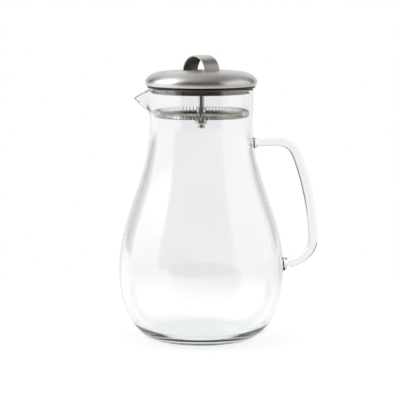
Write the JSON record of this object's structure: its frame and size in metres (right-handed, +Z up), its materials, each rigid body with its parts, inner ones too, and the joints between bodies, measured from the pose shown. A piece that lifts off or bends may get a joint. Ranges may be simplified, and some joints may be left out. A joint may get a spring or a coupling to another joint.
{
  "type": "glass pitcher",
  "caption": "Pear-shaped glass pitcher with a pulled beak, a glass rod handle and a lift-off domed steel lid that carries a coil-edged strainer.",
  "frame": {"origin": "centre of the vessel's flat base, on the axis that the vessel is turned about", "axes": "+Z up along the vessel's axis, -X towards the beak, +X towards the handle, -Y the side that the picture shows"},
  "size_m": [0.1939, 0.1598, 0.2745],
  "materials": {
    "clear_glass": "clear blown glass, fire polished",
    "brushed_steel": "satin, brushed in circles on the dome and lengthwise on the strap",
    "bright_steel": "bright drawn and pressed stainless steel",
    "black_silicone": "smooth moulded silicone"
  },
  "bodies": {
    "vessel": {"glass_body": "clear_glass", "glass_handle": "clear_glass"},
    "lid": {"lid_dome": "brushed_steel", "lid_strap": "brushed_steel", "lid_pan": "bright_steel", "seal_ring": "black_silicone", "rod_boss": "bright_steel", "strainer_rod": "bright_steel", "rod_washer": "bright_steel", "strainer_hub": "bright_steel", "strainer_plate": "bright_steel", "coil_spring": "bright_steel", "hub_spacer": "bright_steel"},
    "nut": {"retaining_nut": "bright_steel"}
  },
  "joints": [
    {"name": "lid_lift", "type": "slide", "parent": "vessel", "child": "lid", "axis": [0, 0, 1], "range_m": [0, 0.06]},
    {"name": "nut_turn", "type": "hinge", "parent": "lid", "child": "nut", "pos_m": [0, 0, 0.208], "axis": [0, 0, 1], "continuous": true}
  ]
}
